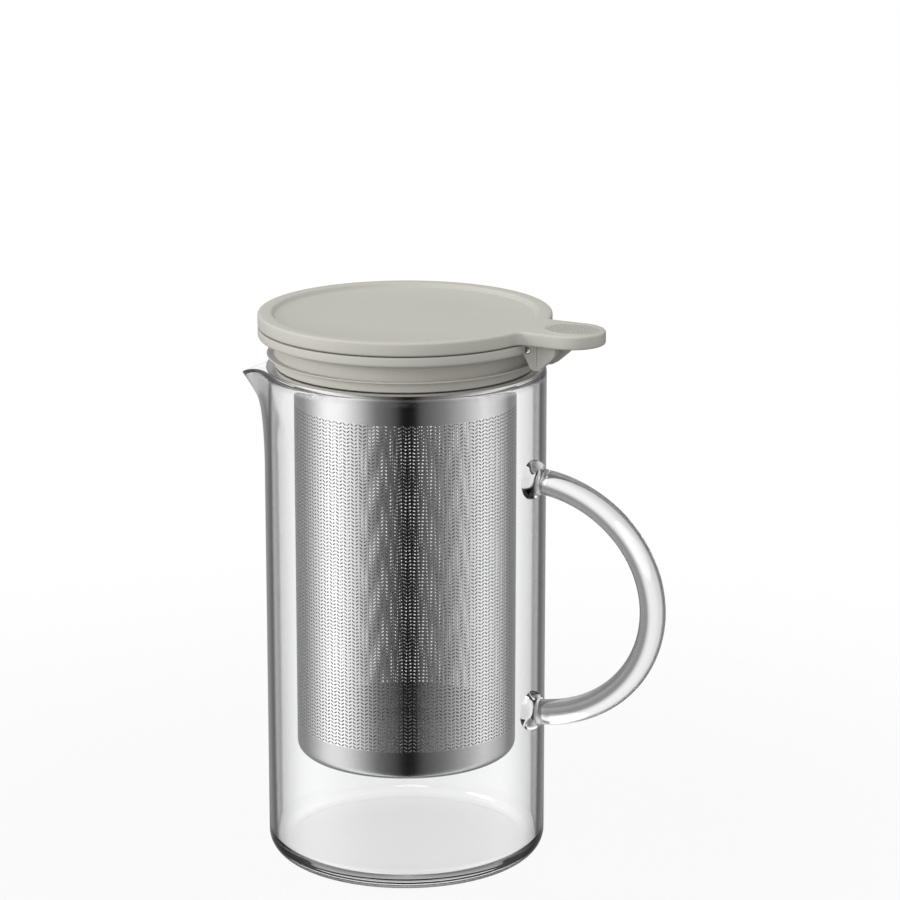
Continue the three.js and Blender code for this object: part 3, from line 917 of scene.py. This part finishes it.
@dataclass
class Infuser:
    """The infuser: flange with its pull tab, tube with its chevron screen between plain bands, and cup.

    The flange's edge is given as inset and height above its underside, and the neck under it as distance
    from the tube and height.
    """

    tube: float = 41.8
    sheet: float = 0.8
    flange_level: float = 190.3
    flange_sheet: float = 1.0
    flange_edge: Profile = ((0.3, 0.0), (0.08, 0.12), (0.0, 0.35), (0.0, 0.7), (0.08, 0.9), (0.3, 1.0))
    neck: Profile = ((0.0, -1.0), (0.25, -0.3), (0.9, 0.0))
    mouth_foot: float = 187.95
    mouth_roll: float = 1.3
    step_drop: float = 9.4
    step_depth: float = 0.3
    step_slope: float = 0.25
    slots_top: float = 177.8
    slots_foot: float = 52.2
    cup_top: float = 46.05
    cup_foot: float = 40.9
    cup_corner: float = 4.0
    columns: int = 160
    rows: int = 92
    screen_parts: int = 2
    slot_width: float = 0.70
    slot_height: float = 0.43
    slot_lean: float = 0.24
    screen_sheet: float = 0.35
    screen_weld: float = 1e-5
    tab: Tongue = Tongue(disc=52.0, root=22.0, end=18.5, length=19.48, fillet=4.0, turn=math.radians(57.5))
    oval_half: Point = (6.6, 5.2)
    oval_line: Profile = ((0.28, -0.1), (0.28, 0.06), (0.1, 0.14), (-0.1, 0.14), (-0.28, 0.06), (-0.28, -0.1))
    oval_shift: float = -0.6
    oval_sides: int = 96

    def collar(self) -> bpy.types.Object:
        """Makes the flange, tab and rolled mouth as one pressed sheet.

        Returns:
            The collar.
        """
        base, top = self.flange_level, self.flange_level + self.flange_sheet
        inner, roll, turns = self.tube - self.sheet, self.mouth_roll, self.tab.turns()
        bend = arc(inner + roll, top - roll, roll, 90, 180, 6)
        neck = [(self.tube + out, base + rise) for out, rise in self.neck]
        rings = [
            *(Maker.circle(r, self.mouth_foot, turns) for r in (inner, self.tube)),
            *(Maker.circle(r, z, turns) for r, z in neck),
            *(self.tab.ring(inset, base + rise) for inset, rise in self.flange_edge),
            *(Maker.circle(r, z, turns) for r, z in bend),
        ]
        return Maker.loft("infuser_flange", rings, 40, loop=True)

    def bands(self) -> list[bpy.types.Object]:
        """Makes the tube's two plain bands, the upper one with the step that is rolled into its inside.

        Returns:
            The upper and the lower band.
        """
        outer, inner, step = self.tube, self.tube - self.sheet, self.flange_level - self.step_drop
        deep, low, top = inner - self.step_depth, self.slots_top, self.mouth_foot
        head = [(deep, low), (outer, low), (outer, top), (inner, top)]
        head += [(inner, step), (deep, step - self.step_slope)]
        low, top = self.cup_top, self.slots_foot
        foot = [(inner, low), (outer, low), (outer, top), (inner, top)]
        return [
            Maker.turned(f"infuser_band_{name}", points, 40, loop=True)
            for name, points in (("head", head), ("foot", foot))
        ]

    def oval(self) -> bpy.types.Object:
        """Makes the fine raised oval near the tab's end.

        Returns:
            The oval.
        """
        centre = self.tab.disc + self.tab.length - self.tab.end / 2 + self.oval_shift
        shape = (self.oval_half, self.flange_level + self.flange_sheet, self.oval_line, self.oval_sides)
        return Maker.oval("infuser_tab_oval", centre, *shape, self.tab.turn)

    def cup(self) -> bpy.types.Object:
        """Makes the shallow cup that closes the infuser's foot.

        Returns:
            The cup.
        """
        outer, inner, corner = self.tube, self.tube - self.sheet, self.cup_corner
        middle, within = self.cup_foot + corner, corner - self.sheet
        profile = [
            (0.0, self.cup_foot),
            *arc(outer - corner, middle, corner, -90, 0, 10),
            (outer, self.cup_top),
            (inner, self.cup_top),
            *arc(outer - corner, middle, within, 0, -90, 10),
            (0.0, self.cup_foot + self.sheet),
        ]
        return Maker.turned("infuser_cup_shell", profile, 40)

    def dull_inside(self, cup: bpy.types.Object, dull_steel: bpy.types.Material) -> None:
        """Gives the cup's inner faces the dull steel.

        Args:
            cup: The cup.
            dull_steel: The finish of its inside.
        """
        cup.data.materials.append(dull_steel)
        corner = Vector((self.tube - self.cup_corner, self.cup_foot + self.cup_corner)) * MM
        for face in cup.data.polygons:
            away = Vector((math.hypot(face.center.x, face.center.y), face.center.z)) - corner
            away = Vector((max(0.0, away.x), min(0.0, away.y)))
            face.material_index = int(away.length < (self.cup_corner - self.sheet / 2) * MM)

    def pitch(self) -> Point:
        """The width of a column and the height of a row."""
        return TURN * self.tube / self.columns, (self.slots_top - self.slots_foot) / self.rows

    def chevron(self, name: str) -> bpy.types.Object:
        """Makes one cell of the screen, laid flat: a left and a right slot that lean towards each other.

        Args:
            name: The object's name.

        Returns:
            The cell.
        """
        wide, high = self.pitch()
        bm = bmesh.new()
        for side in (-1, 1):
            left = wide * (side - 1) / 2
            middle, run = left + wide / 2, wide * self.slot_width / 2
            rise, tall = side * high * self.slot_lean, high * self.slot_height / 2
            (low, top), (a, b) = (-high / 2, high / 2), (middle - run, middle + run)
            frame = [(left, low), (left + wide, low), (left + wide, top), (left, top)]
            hole = [(a, -rise - tall), (b, rise - tall), (b, rise + tall), (a, tall - rise)]
            frame_out, frame_in, hole_out, hole_in = (
                [bm.verts.new(Vector((x, y, z)) * MM) for x, y in loop]
                for loop in (frame, hole) for z in (0.0, -self.screen_sheet)
            )
            for i in range(4):
                j = (i + 1) % 4
                bm.faces.new((frame_out[i], frame_out[j], hole_out[j], hole_out[i]))
                bm.faces.new((frame_in[j], frame_in[i], hole_in[i], hole_in[j]))
                bm.faces.new((hole_out[i], hole_out[j], hole_in[j], hole_in[i]))
        bmesh.ops.remove_doubles(bm, verts=bm.verts, dist=1e-7)
        return Maker.linked(name, bm)

    def edges(self, rows: int) -> bpy.types.Object:
        """Makes the two cut edges that close the sheet of a flat screen.

        Args:
            rows: The screen's number of rows.

        Returns:
            The edges.
        """
        wide, high = self.pitch()
        bm = bmesh.new()
        for level, order in ((-high * rows / 2, 1), (high * rows / 2, -1)):
            for i in range(self.columns):
                x0, x1 = (i - self.columns / 2) * wide, (i + 1 - self.columns / 2) * wide
                corners = [(x0, -self.screen_sheet), (x1, -self.screen_sheet), (x1, 0.0), (x0, 0.0)][::order]
                bm.faces.new([bm.verts.new(Vector((x, level, z)) * MM) for x, z in corners])
        return Maker.linked("screen_edges", bm)

    def sheet_tree(self) -> Nodes:
        """Builds the tree that lays the cell out in columns and rows and rolls the sheet into a tube.

        Returns:
            The tree.
        """
        kinds = {"Edges": "Object", "Pairs": "Int", "Rows": "Int"}
        kinds |= {key: "Float" for key in ("Pair Pitch", "Row Pitch", "Radius", "Level")}
        nodes = Nodes("perforated_tube", kinds)
        given = nodes.given
        sizes = [
            nodes.math("MULTIPLY", given[step], nodes.math("SUBTRACT", given[count], 1.0))
            for step, count in (("Pair Pitch", "Pairs"), ("Row Pitch", "Rows"))
        ]
        counts = {"Vertices X": given["Pairs"], "Vertices Y": given["Rows"]}
        grid = nodes.node("GeometryNodeMeshGrid", {"Size X": sizes[0], "Size Y": sizes[1], **counts})
        edges = nodes.node("GeometryNodeObjectInfo", {"Object": given["Edges"]})
        both = nodes.node("GeometryNodeJoinGeometry")
        for part in (nodes.repeated(grid.outputs["Mesh"]), edges.outputs["Geometry"]):
            nodes.feed(both.inputs[0], part)
        flat = nodes.parts(nodes.node("GeometryNodeInputPosition").outputs[0])
        turn = nodes.math("DIVIDE", flat["X"], given["Radius"])
        reach = nodes.math("ADD", flat["Z"], given["Radius"])
        rolled = nodes.node("ShaderNodeCombineXYZ", {
            "X": nodes.math("MULTIPLY", reach, nodes.math("COSINE", turn)),
            "Y": nodes.math("MULTIPLY", reach, nodes.math("SINE", turn)),
            "Z": nodes.math("ADD", flat["Y"], given["Level"]),
        })
        feeds = {"Geometry": both.outputs[0], "Position": rolled.outputs[0]}
        nodes.finish(nodes.node("GeometryNodeSetPosition", feeds).outputs["Geometry"], self.screen_weld)
        return nodes

    def screens(self, steel: bpy.types.Material) -> list[bpy.types.Object]:
        """Makes the screen in bands, so that none holds too many faces.

        Args:
            steel: The screen's finish.

        Returns:
            The bands, from the lowest up.
        """
        nodes = self.sheet_tree()
        (wide, high), rows = self.pitch(), self.rows // self.screen_parts
        made = []
        for i in range(self.screen_parts):
            band, edges = self.chevron(f"infuser_screen_band_{i + 1}"), self.edges(rows)
            nodes.apply(band, {
                "Edges": edges, "Pairs": self.columns // 2, "Rows": rows, "Pair Pitch": 2 * wide * MM,
                "Row Pitch": high * MM, "Radius": self.tube * MM,
                "Level": (self.slots_foot + high * rows * (i + 0.5)) * MM, "Finish": steel,
            })
            bpy.data.objects.remove(edges)
            made.append(band)
        return made

    def build(self, steel: bpy.types.Material) -> None:
        """Makes the infuser and gives it its finishes.

        Args:
            steel: The polished finish of the flange, mouth and upper band.
        """
        # Rougher satin steel for the lower band and cup; its darker tone is painted shade on these lower parts.
        shaded_satin_steel = Stainless("satin_stainless_shaded", (0.62, 0.62, 0.615), rough=0.2, relief=0.0).material()
        dull_steel = Stainless("dull_stainless", rough=0.6, relief=0.0).material()
        tube = {"radius": self.tube, "sheet": self.screen_sheet}
        bright = (0.92, 0.92, 0.915)
        mesh_steel = Stainless("perforated_stainless", bright, rough=0.13, relief=0.0, **tube).material()
        place = (Body.INFUSER, Slot.STEEL)
        dress(self.collar(), steel, *place, "infuser_collar")
        dress(self.oval(), steel, *place)
        self.dull_inside(dress(self.cup(), shaded_satin_steel, *place, "infuser_cup"), dull_steel)
        for band, finish in zip(self.bands(), (steel, shaded_satin_steel)):
            dress(band, finish, *place, "infuser_screen")
        for band in self.screens(mesh_steel):
            dress(band, mesh_steel, *place, "infuser_screen")


@dataclass
class SealRing:
    """The silicone ring between the flange and the lid.

    The fin's lower and upper sides are given as distance from the ring's wall and height above its middle,
    and its edge as distance from its reach.
    """

    inner: float = 46.3
    wall: float = 2.6
    level: float = 191.6
    height: float = 10.4
    edge: float = 0.8
    fin: float = 51.7
    fin_share: float = 0.38
    fin_under: Profile = ((0.0, -0.5), (0.1, -0.42))
    fin_edge: Profile = ((-0.25, 0.02), (0.0, 0.2), (0.0, 0.5), (-0.2, 0.66))
    fin_over: Profile = ((0.1, 0.42), (0.0, 0.5))

    def build(self, silicone: bpy.types.Material) -> None:
        """Makes the ring and gives it its finish.

        Args:
            silicone: The finish.
        """
        inner, outer, edge = self.inner, self.inner + self.wall, self.edge
        low, top = self.level, self.level + self.height
        middle = low + self.height * self.fin_share
        sides = ((outer, self.fin_under), (self.fin, self.fin_edge), (outer, self.fin_over))
        profile = [
            *arc(inner + edge, low + edge, edge, 180, 270, 6),
            *arc(outer - edge, low + edge, edge, -90, 0, 6),
            *((start + out, middle + rise) for start, side in sides for out, rise in side),
            *arc(outer - edge, top - edge, edge, 0, 90, 6),
            *arc(inner + edge, top - edge, edge, 90, 180, 6),
        ]
        ring = Maker.turned("sealing_ring", profile, 32, loop=True)
        dress(ring, silicone, Body.RING, Slot.SILICONE, "silicone_ring")


@dataclass
class FlipLid:
    """The lid: a base with its plug, and a cover that turns on the pin when the thumb tab is pressed.

    The cheek's front and heel and its brace are given as distance from the pin's axis along X and Z, and the
    neck's bend as distance from the neck and from the top of the lip.
    """

    radius: float = 55.0
    base_level: float = 202.3
    base_disc: float = 3.7
    base_corner: float = 1.2
    base_rim: float = 0.35
    base_slope: float = 0.5
    plug_foot: float = 191.6
    plug_bore: float = 41.0
    bore_edge: float = 0.4
    plug_neck: float = 44.0
    neck_fillet: float = 0.8
    neck_bend: Profile = ((0.35, 0.55), (0.0, 0.9))
    plug_lip: float = 45.8
    lip_edge: float = 0.6
    lip_height: float = 2.0
    cover_level: float = 206.4
    cover_height: float = 5.1
    cover_skin: float = 2.2
    cover_room: float = 1.0
    cover_edge: float = 0.9
    cover_foot: float = 0.2
    border: float = 4.8
    slope: float = 1.9
    slope_steps: int = 12
    dish: float = 1.5
    hinge_drop: float = 2.7
    notch: Point = (-5.7, 4.0)
    notch_room: float = 3.0
    ear_half: float = 3.7
    ear_radius: float = 2.3
    ear_root: float = 8.0
    ear_bevel: float = 0.25
    hole: float = 1.3
    bar_length: float = 24.0
    cheek: float = 4.0
    cheek_root: float = 1.2
    cheek_bevel: float = 0.35
    cheek_front: Point = (-2.6, -0.4)
    play: float = 0.3
    nose_away: float = 5.6
    nose_turn: float = -55.0
    nose: float = 2.7
    heel: Profile = ((10.0, -2.4), (11.0, -1.0), (11.2, 0.6))
    brace: Profile = ((2.7, -5.6), (3.3, -6.0), (3.7, -5.6))
    brace_root: Point = (2.5, 4.0)
    brace_out: Point = (-0.3, 0.45)
    brace_bevel: float = 0.25
    tab: Tongue = Tongue(disc=55.0, root=25.0, end=25.0, length=26.5, fillet=3.0)
    grip_shift: float = 0.4
    grip_ribs: int = 13
    grip_pitch: float = 1.45
    grip_half: float = 10.2
    grip_width: float = 14.6
    grip_oval: Point = (10.6, 8.6)
    grip_line: Profile = ((0.3, -0.1), (0.3, 0.1), (0.1, 0.22), (-0.1, 0.22), (-0.3, 0.1), (-0.3, -0.1))
    grip_sides: int = 128
    rib: Profile = (
        (-0.5, -0.3), (-0.42, 0.12), (-0.22, 0.36), (0.0, 0.42), (0.22, 0.36), (0.42, 0.12), (0.5, -0.3),
    )

    def __post_init__(self) -> None:
        """Places the hinge's axis and the disc's top."""
        self.hinge = (self.radius, self.cover_level - self.hinge_drop)
        self.base_top = self.base_level + self.base_disc
        self.cover_top = self.cover_level + self.cover_height

    def bar(self) -> bpy.types.Object:
        """Makes a round bar on the hinge's axis, for cutting the pin's holes.

        Returns:
            The bar.
        """
        bm = bmesh.new()
        place = Matrix.Translation(Vector((self.hinge[0], 0, self.hinge[1])) * MM)
        place @= Matrix.Rotation(math.pi / 2, 4, "X")
        size = {"radius1": self.hole * MM, "radius2": self.hole * MM, "depth": self.bar_length * MM}
        bmesh.ops.create_cone(bm, cap_ends=True, segments=32, matrix=place, **size)
        return Maker.solid("bar", bm, 35)

    def base(self) -> bpy.types.Object:
        """Makes the base: disc, neck, lip and the notch for the hinge.

        Returns:
            The base.
        """
        low, level, top = self.plug_foot, self.base_level, self.base_top
        bore, neck, edge, lip = self.plug_bore, self.plug_neck, self.lip_edge, self.plug_lip - self.lip_edge
        high, fillet = low + self.lip_height, self.neck_fillet
        corner, rim = self.base_corner, self.base_rim
        profile = [
            *arc(bore + self.bore_edge, low + self.bore_edge, self.bore_edge, 180, 270, 3),
            *arc(lip, low + edge, edge, -90, 0, 4),
            *arc(lip, high - edge / 2, edge, 0, 60, 4),
            *((neck + out, high + rise) for out, rise in self.neck_bend),
            *arc(neck + fillet, level - fillet, fillet, 180, 90, 4),
            *arc(self.radius - corner, level + corner, corner, -90, 0, 8),
            *arc(self.radius - rim, top - rim, rim, 0, 90, 4),
            (bore + self.base_slope, top),
            (bore, top - self.base_slope),
        ]
        disc = Maker.turned("lid_base_moulding", profile, 40, loop=True)
        reach = self.ear_half + 2 * self.play + self.cheek
        (x0, x1), (z0, z1) = self.notch, (level - self.notch_room, top + self.notch_room)
        x0, x1 = self.radius + x0, self.radius + x1
        block = [(x0, z0), (x1, z0), (x1, z1), (x0, z1)]
        return Maker.cut(disc, Maker.plate("block", block, -reach, reach, 0.02))

    def ear(self) -> bpy.types.Object:
        """Makes the ear that holds the pin between the cheeks.

        Returns:
            The ear.
        """
        (hx, hz), half, root = self.hinge, self.ear_radius, self.radius - self.ear_root
        outline = [(root, self.base_top), (hx, hz + half), *arc(hx, hz, half, 80, -80, 12)]
        outline += [(hx, hz - half), (root, self.base_level)]
        ear = Maker.plate("lid_base_ear", outline, -self.ear_half, self.ear_half, self.ear_bevel)
        return Maker.cut(ear, self.bar())

    def cover(self) -> bpy.types.Object:
        """Makes the cover's disc and thumb tab as one moulding.

        Returns:
            The cover.
        """
        low, top, turns, edge = self.cover_level, self.cover_top, self.tab.turns(), self.cover_edge
        wall, ceiling = self.radius - self.cover_skin, top - self.cover_room - self.cover_skin
        rings = [
            Maker.circle(0.0, ceiling, turns),
            Maker.circle(wall - self.cover_skin, ceiling, turns),
            Maker.circle(wall - self.cover_foot, low + self.cover_foot, turns),
            Maker.circle(wall, low, turns),
        ]
        for level, start in ((low + edge, -90), (top - edge, 0)):
            rings += [self.tab.ring(edge - x, level + z) for x, z in arc(0, 0, edge, start, start + 90, 5)]
        inner = self.radius - self.border
        for i in range(self.slope_steps + 1):
            share = i / self.slope_steps
            fall = self.dish * (1 - math.cos(math.pi * share)) / 2
            rings.append(Maker.circle(inner - self.slope * share, top - fall, turns))
        rings += [Maker.circle(r, top - self.dish, turns) for r in (inner / 2, 0.0)]
        return Maker.loft("lid_cover_moulding", rings, 50)

    def cheeks(self) -> list[bpy.types.Object]:
        """Makes the hinge's two cheeks, each with its pin hole and its outer rib.

        Returns:
            The near cheek and its rib, then the far ones.
        """
        (hx, hz), root = self.hinge, self.cover_level + self.cheek_root
        turn = math.radians(self.nose_turn)
        nose = (hx + self.nose_away * math.cos(turn), hz + self.nose_away * math.sin(turn))
        front, drop = self.cheek_front
        outline = [(hx + front, root), (hx + front, hz + drop), *arc(*nose, self.nose, 205, 315, 16)]
        outline += [*((hx + x, hz + z) for x, z in self.heel), (hx + self.heel[-1][0], root)]
        start, end = self.brace_root
        rib = [(hx + start, root), *((hx + x, hz + z) for x, z in self.brace), (hx + end, root)]
        made = []
        for name, side in (("near", -1), ("far", 1)):
            inside, outside = self.ear_half + self.play, self.ear_half + self.play + self.cheek
            span = sorted((side * inside, side * outside))
            cheek = Maker.plate(f"lid_cheek_{name}", outline, *span, self.cheek_bevel)
            made.append(Maker.cut(cheek, self.bar()))
            proud = sorted(side * (outside + out) for out in self.brace_out)
            made.append(Maker.plate(f"lid_cheek_rib_{name}", rib, *proud, self.brace_bevel))
        return made

    def grip_tree(self) -> Nodes:
        """Builds the tree that sets ribs side by side, each as long as the oval is wide there.

        Returns:
            The tree.
        """
        kinds = {"Count": "Int", "Pitch": "Float", "Half Length": "Float", "Width": "Float", "Centre": "Vector"}
        nodes = Nodes("ribbed_oval", kinds)
        given = nodes.given
        step = nodes.node("ShaderNodeCombineXYZ", {"X": given["Pitch"]}).outputs[0]
        line = nodes.node("GeometryNodeMeshLine", {"Count": given["Count"], "Offset": step})
        index = nodes.node("GeometryNodeInputIndex").outputs[0]
        middle = nodes.math("MULTIPLY", nodes.math("SUBTRACT", given["Count"], 1.0), 0.5)
        off = nodes.math("MULTIPLY", nodes.math("SUBTRACT", index, middle), given["Pitch"])
        share = nodes.math("DIVIDE", off, given["Half Length"])
        chord = nodes.math("SQRT", nodes.math("SUBTRACT", 1.0, nodes.math("MULTIPLY", share, share)))
        length = nodes.math("MULTIPLY", chord, nodes.math("MULTIPLY", given["Width"], 1 / MM))
        scale = nodes.node("ShaderNodeCombineXYZ", {"X": 1.0, "Y": length, "Z": 1.0}).outputs[0]
        feeds = {"Geometry": nodes.repeated(line.outputs["Mesh"], scale), "Translation": given["Centre"]}
        nodes.finish(nodes.node("GeometryNodeTransform", feeds).outputs["Geometry"], 1e-7)
        return nodes

    def grip(self, plastic: bpy.types.Material) -> list[bpy.types.Object]:
        """Makes the thumb grip: parallel ribs that fill an oval, and the oval's own raised line.

        Args:
            plastic: The grip's finish.

        Returns:
            The ribs and the oval.
        """
        centre = self.radius + self.tab.length - self.tab.end / 2 + self.grip_shift
        first = centre - self.grip_pitch * (self.grip_ribs - 1) / 2
        ribs = Maker.plate("thumb_grip_ribs", self.rib, -0.5, 0.5, sharp=60)
        self.grip_tree().apply(ribs, {
            "Count": self.grip_ribs, "Pitch": self.grip_pitch * MM, "Half Length": self.grip_half * MM,
            "Width": self.grip_width * MM, "Centre": (first * MM, 0.0, self.cover_top * MM), "Finish": plastic,
        })
        shape = (self.grip_oval, self.cover_top, self.grip_line, self.grip_sides)
        return [ribs, Maker.oval("thumb_grip_oval", centre, *shape)]

    def build(self, plastic: bpy.types.Material, steel: bpy.types.Material) -> None:
        """Makes the lid and gives it its finishes.

        Args:
            plastic: The mouldings' finish.
            steel: The pin's finish.
        """
        for part in (self.base(), self.ear()):
            dress(part, plastic, Body.LID, Slot.PLASTIC, "lid_base")
        for part in (self.cover(), *self.cheeks(), *self.grip(plastic)):
            dress(part, plastic, Body.COVER, Slot.PLASTIC, "lid_cover")
        pin = bpy.data.objects["hinge_pin"]
        pin.data.materials.clear()
        pin.data.materials.append(steel)


@dataclass(frozen=True)
class Lamp:
    """A soft round lamp that faces the pitcher and lights it without being seen.

    Its turn from the camera's side and its height are in degrees, its distance and size in metres and its
    power in watts.
    """

    name: str
    turn: float
    up: float
    away: float
    size: float
    power: float
    aim: float = 0.1

    def build(self, side: float) -> None:
        """Adds the lamp.

        Args:
            side: The camera's direction from the pitcher, in degrees.
        """
        data = bpy.data.lights.new(self.name, "AREA")
        data.shape = "DISK"
        data.size = self.size
        data.energy = self.power
        made = bpy.data.objects.new(self.name, data)
        a, e = math.radians(side + self.turn), math.radians(self.up)
        back = Vector((math.cos(a) * math.cos(e), math.sin(a) * math.cos(e), math.sin(e)))
        made.location = back * self.away + Vector((0, 0, self.aim))
        made.rotation_euler = (-back).to_track_quat("-Z", "Y").to_euler()
        made.visible_camera = False
        made.visible_glossy = False
        bpy.context.scene.collection.objects.link(made)


@dataclass
class Studio:
    """The pale floor, the soft light and the camera at the photograph's viewing angle.

    The bands are the levels of the light round the pitcher, by the turn in degrees from the camera's side.
    """

    side: float = -61.5
    distance: float = 1.2884
    eye: float = 0.4951
    pitch: float = 14.674
    sensor: float = 36.0
    frame_px: float = 900.0
    focal_px: float = 3536.5
    axis_px: float = 404.0
    bands: Profile = (
        (-180, 0.45), (-160, 0.28), (-150, 0.2), (-128, 0.22), (-112, 0.5), (-96, 1.0), (-86, 1.2), (-70, 1.15),
        (-56, 0.85), (-40, 0.42), (-30, 0.2), (-10, 0.08), (-3, 0.01), (9, 0.01), (16, 0.1), (40, 0.24),
        (64, 0.54), (88, 0.95), (104, 0.74), (120, 0.45), (134, 0.17), (152, 0.2), (180, 0.45),
    )
    ceiling: float = 1.3
    ceiling_span: Point = (0.32, 0.6)
    floor_half: float = 6.0
    floor_drop: float = 0.0004
    floor_tone: float = 0.25
    floor_fade: tuple[float, ...] = (0.1, 0.45, 0.93, 1.0)
    lamps: tuple[Lamp, ...] = (Lamp("key", -72, 16, 1.5, 0.8, 15.0), Lamp("front", -4, 14, 1.6, 0.9, 9.0))

    def camera(self) -> None:
        """Sets the camera, which sees the pitcher's axis a little left of the middle."""
        data = bpy.data.cameras.new("camera")
        data.sensor_width = self.sensor
        data.lens = self.focal_px / self.frame_px * data.sensor_width
        data.clip_end = 20.0
        made = bpy.data.objects.new("camera", data)
        turn, pitch = math.radians(self.side), math.radians(self.pitch)
        made.location = (self.distance * math.cos(turn), self.distance * math.sin(turn), self.eye)
        yaw = turn + math.pi - math.atan((self.frame_px / 2 - self.axis_px) / self.focal_px)
        ahead = (math.cos(yaw) * math.cos(pitch), math.sin(yaw) * math.cos(pitch), -math.sin(pitch))
        made.rotation_euler = Vector(ahead).to_track_quat("-Z", "Y").to_euler()
        bpy.context.scene.collection.objects.link(made)
        bpy.context.scene.camera = made

    def straight(self, tree: Tree) -> Socket:
        """Adds the test for what the camera sees directly or straight through the glass.

        Args:
            tree: The node tree of the world or the floor.

        Returns:
            A socket that is 1 on such rays and 0 on others.
        """
        rays = tree.node("ShaderNodeLightPath").outputs
        bounced = tree.math("ADD", rays["Glossy Depth"], rays["Diffuse Depth"], clamp=True)
        clean = tree.math("LESS_THAN", bounced, 0.5, clamp=True)
        through = tree.math("MULTIPLY", rays["Is Transmission Ray"], clean, clamp=True)
        return tree.math("MAXIMUM", rays["Is Camera Ray"], through, clamp=True)

    def world(self) -> None:
        """Sets the world: white behind the pitcher, and a studio of soft bands for light and gloss."""
        world = bpy.data.worlds.new("studio")
        bpy.context.scene.world = world
        world.use_nodes = True
        tree = Tree(world.node_tree)
        spot = tree.parts(tree.place("Generated"))
        turn = tree.math("ARCTAN2", spot["Y"], spot["X"])
        share = tree.math("MULTIPLY_ADD", turn, 1 / TURN, 0.5 - math.radians(self.side) / TURN)
        levels = [(angle / 360 + 0.5, level) for angle, level in self.bands]
        bands = tree.ramp(tree.math("FRACT", share), levels)
        above = tree.eased(spot["Z"], *self.ceiling_span)
        studio = tree.blend(above, bands, grey(self.ceiling))
        light, white = (tree.node("ShaderNodeBackground", {0: c}).outputs[0] for c in (studio, grey(1.0)))
        tree.node("ShaderNodeOutputWorld", {0: tree.mixed(self.straight(tree), light, white)})

    def floor(self) -> None:
        """Adds the pale floor, which fades into the white behind it and keeps the pitcher's shadow."""
        mesh = bpy.data.meshes.new("floor")
        half = self.floor_half
        corners = [(-half, -half, 0), (half, -half, 0), (half, half, 0), (-half, half, 0)]
        mesh.from_pydata(corners, [], [(0, 1, 2, 3)])
        made = bpy.data.objects.new("floor", mesh)
        made.location.z = -self.floor_drop
        bpy.context.scene.collection.objects.link(made)
        shader = Shader("pale_floor", Base_Color=grey(self.floor_tone), Roughness=0.75, Specular_IOR_Level=0.1)
        mesh.materials.append(shader.material)
        fade = shader.eased(shader.length(shader.place()), *self.floor_fade)
        glow = shader.node("ShaderNodeEmission", {0: grey(1.0)}).outputs[0]
        share = shader.math("MULTIPLY", fade, self.straight(shader))
        lit = shader.mixed(share, shader.principled.outputs[0], glow)
        mirrored = shader.math("GREATER_THAN", shader.node("ShaderNodeLightPath").outputs["Glossy Depth"], 0.5)
        clear = shader.node("ShaderNodeBsdfTransparent").outputs[0]
        shader.surface(shader.mixed(mirrored, lit, clear))

    def build(self) -> None:
        """Sets up the whole studio."""
        bpy.context.scene.view_settings.view_transform = "Standard"
        self.camera()
        self.world()
        self.floor()
        for lamp in self.lamps:
            lamp.build(self.side)


def main() -> None:
    """Builds the pitcher's sub-assemblies in order, then the studio."""
    logging.basicConfig(level=logging.INFO, format="%(message)s")
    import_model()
    pitcher = GlassPitcher()
    steel = Stainless("polished_stainless").material()
    silicone = Moulded("grey_silicone_rubber", (0.4, 0.39, 0.35), rough=0.6, sheen=0.1).material()
    plastic = Moulded("grey_moulded_plastic", (0.39, 0.382, 0.345), rough=0.5).material()
    pitcher.build(ClearGlass(pitcher).material())
    Infuser().build(steel)
    SealRing().build(silicone)
    FlipLid().build(plastic, steel)
    Studio().build()


if __name__ == "__main__":
    main()
